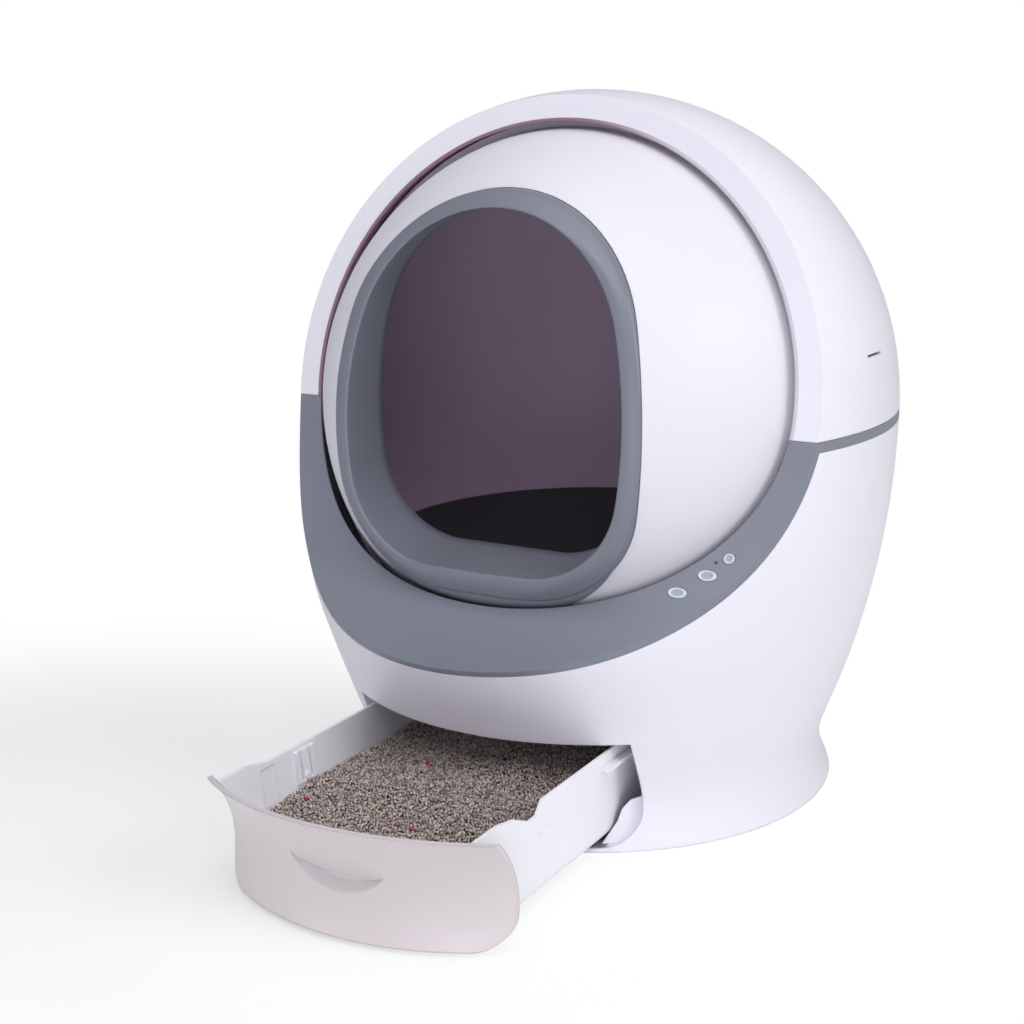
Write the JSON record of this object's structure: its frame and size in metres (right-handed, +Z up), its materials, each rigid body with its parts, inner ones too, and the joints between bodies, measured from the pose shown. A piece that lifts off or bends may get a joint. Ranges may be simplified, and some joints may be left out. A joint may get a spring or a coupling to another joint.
{
  "type": "drawer litter box",
  "caption": "Round self-turning litter box with a lift-off cover, a drum with an entry rim, and a pull-out waste drawer.",
  "frame": {"origin": "centre of the housing's underside, on the floor, on the housing's vertical axis", "axes": "+Z up; the entry and the drawer face -Y; +X is to the right for someone facing the entry"},
  "size_m": [0.54, 0.7181, 0.611],
  "materials": {
    "white_shell": "satin",
    "grey_trim": "satin",
    "rim_plastic": "satin",
    "drum_white": "satin",
    "drum_grey": "matte",
    "black_mat": "matte",
    "panel_plastic": "satin",
    "tub_plastic": "satin",
    "litter": "matte",
    "button_plastic": "satin",
    "light_lens": "gloss",
    "bay_plastic": "matte",
    "rail_plastic": "matte",
    "grey_plate": "matte",
    "soft_rubber": "matte",
    "screw_steel": "satin",
    "bracket_steel": "satin",
    "motor_steel": "satin",
    "gear_plastic": "satin",
    "gear_brass": "satin",
    "board_green": "gloss",
    "black_plastic": "matte"
  },
  "bodies": {
    "housing": {"base_housing": "white_shell", "front_collar": "grey_trim", "base_plate": "grey_plate", "anti_slip_pads": "soft_rubber", "housing_screws": "screw_steel", "drawer_bay": "bay_plastic", "bay_deck": "bay_plastic", "drawer_rail_left": "rail_plastic", "drawer_rail_right": "rail_plastic", "main_board": "board_green", "power_inlet": "black_plastic", "button_board": "board_green", "button_switches": "black_plastic", "status_light": "light_lens", "motor_bracket": "bracket_steel", "gear_motor": "motor_steel", "roller_axles": "screw_steel", "front_roller_stands": "rail_plastic", "rear_roller_stands": "rail_plastic"},
    "cover": {"upper_cover": "white_shell", "cover_tab_left": "grey_trim", "cover_tab_right": "grey_trim"},
    "drum": {"entry_rim": "rim_plastic", "drum_front_shell": "drum_white", "drum_rear_shell": "drum_grey", "drum_screws": "screw_steel", "litter_liner": "black_mat", "sifting_screen": "drum_grey", "drive_ring": "gear_plastic"},
    "pinion": {"drive_pinion": "gear_brass"},
    "drawer": {"drawer_front": "panel_plastic", "drawer_front_screws": "screw_steel", "drawer_tub": "tub_plastic", "bag_clip_left": "tub_plastic", "bag_clip_right": "tub_plastic", "clip_rivets": "tub_plastic", "litter_fill": "litter"},
    "roller_front_left": {"roller_front_left": "soft_rubber"},
    "roller_front_right": {"roller_front_right": "soft_rubber"},
    "roller_rear_left": {"roller_rear_left": "soft_rubber"},
    "roller_rear_right": {"roller_rear_right": "soft_rubber"},
    "button_left": {"button_left": "button_plastic"},
    "button_middle": {"button_middle": "button_plastic"},
    "button_round": {"button_round": "button_plastic"}
  },
  "joints": [
    {"name": "cover_lift", "type": "slide", "parent": "housing", "child": "cover", "axis": [0, 0, 1], "range_m": [0, 0.3]},
    {"name": "drum_spin", "type": "hinge", "parent": "housing", "child": "drum", "pos_m": [0, 0, 0.341], "axis": [0, -0.9781, 0.2079], "continuous": true},
    {"name": "pinion_spin", "type": "hinge", "parent": "housing", "child": "pinion", "pos_m": [0.13246, 0.10882, 0.13148], "axis": [0, -0.9781, 0.2079], "continuous": true},
    {"name": "roller_front_left_spin", "type": "hinge", "parent": "housing", "child": "roller_front_left", "pos_m": [-0.1588, -0.11271, 0.17148], "axis": [0, -0.9781, 0.2079], "continuous": true},
    {"name": "roller_front_right_spin", "type": "hinge", "parent": "housing", "child": "roller_front_right", "pos_m": [0.1588, -0.11271, 0.17148], "axis": [0, -0.9781, 0.2079], "continuous": true},
    {"name": "roller_rear_left_spin", "type": "hinge", "parent": "housing", "child": "roller_rear_left", "pos_m": [-0.14286, 0.07447, 0.13823], "axis": [0, -0.9781, 0.2079], "continuous": true},
    {"name": "roller_rear_right_spin", "type": "hinge", "parent": "housing", "child": "roller_rear_right", "pos_m": [0.14286, 0.07447, 0.13823], "axis": [0, -0.9781, 0.2079], "continuous": true},
    {"name": "drawer_slide", "type": "slide", "parent": "housing", "child": "drawer", "axis": [0, -1, 0], "range_m": [-0.207, 0.085]},
    {"name": "button_left_press", "type": "slide", "parent": "housing", "child": "button_left", "axis": [0, 0.6687, -0.7435], "range_m": [0, 0.0012], "stiffness_N_per_m": 600},
    {"name": "button_middle_press", "type": "slide", "parent": "housing", "child": "button_middle", "axis": [0, 0.7242, -0.6896], "range_m": [0, 0.0012], "stiffness_N_per_m": 600},
    {"name": "button_round_press", "type": "slide", "parent": "housing", "child": "button_round", "axis": [0, 0.7706, -0.6373], "range_m": [0, 0.0012], "stiffness_N_per_m": 600}
  ],
  "couplings": [
    {"joint": "pinion_spin", "follows": "drum_spin", "ratio": -9},
    {"joint": "roller_front_left_spin", "follows": "drum_spin", "ratio": -18},
    {"joint": "roller_front_right_spin", "follows": "drum_spin", "ratio": -18},
    {"joint": "roller_rear_left_spin", "follows": "drum_spin", "ratio": -16.846},
    {"joint": "roller_rear_right_spin", "follows": "drum_spin", "ratio": -16.846}
  ]
}
